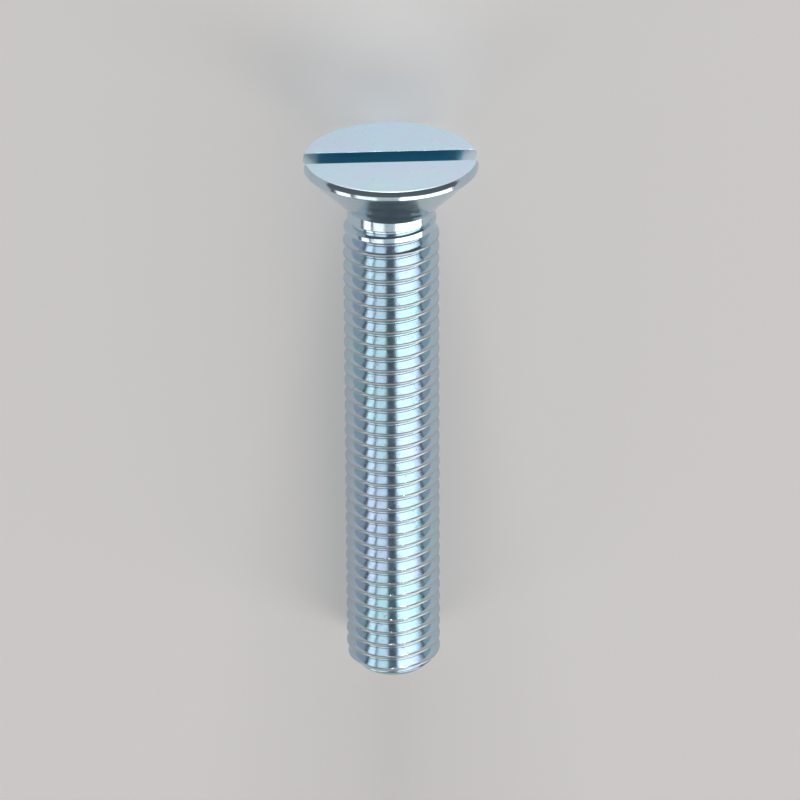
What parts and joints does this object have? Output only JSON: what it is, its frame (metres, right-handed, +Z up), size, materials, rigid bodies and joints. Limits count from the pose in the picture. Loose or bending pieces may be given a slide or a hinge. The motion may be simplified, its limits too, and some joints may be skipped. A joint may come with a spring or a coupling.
{
  "type": "countersunk machine screw",
  "caption": "Slotted countersunk machine screw in zinc-plated steel, with a coarse metric thread up to its flat head, for clamping parts flush with their surface.",
  "frame": {"origin": "on the surface the screw lies on, under the middle of its bounding box", "axes": "+Z up; the screw lies along Y with its head towards -Y, its axis 4.2 degrees off the surface and rising towards the head; the driver slot runs along X"},
  "size_m": [0.0214, 0.0708, 0.0216],
  "materials": {
    "zinc_plated_steel": "bright zinc plate with a pale blue passivation, satin on the crests"
  },
  "bodies": {
    "root": {"screw": "zinc_plated_steel"}
  },
  "joints": []
}
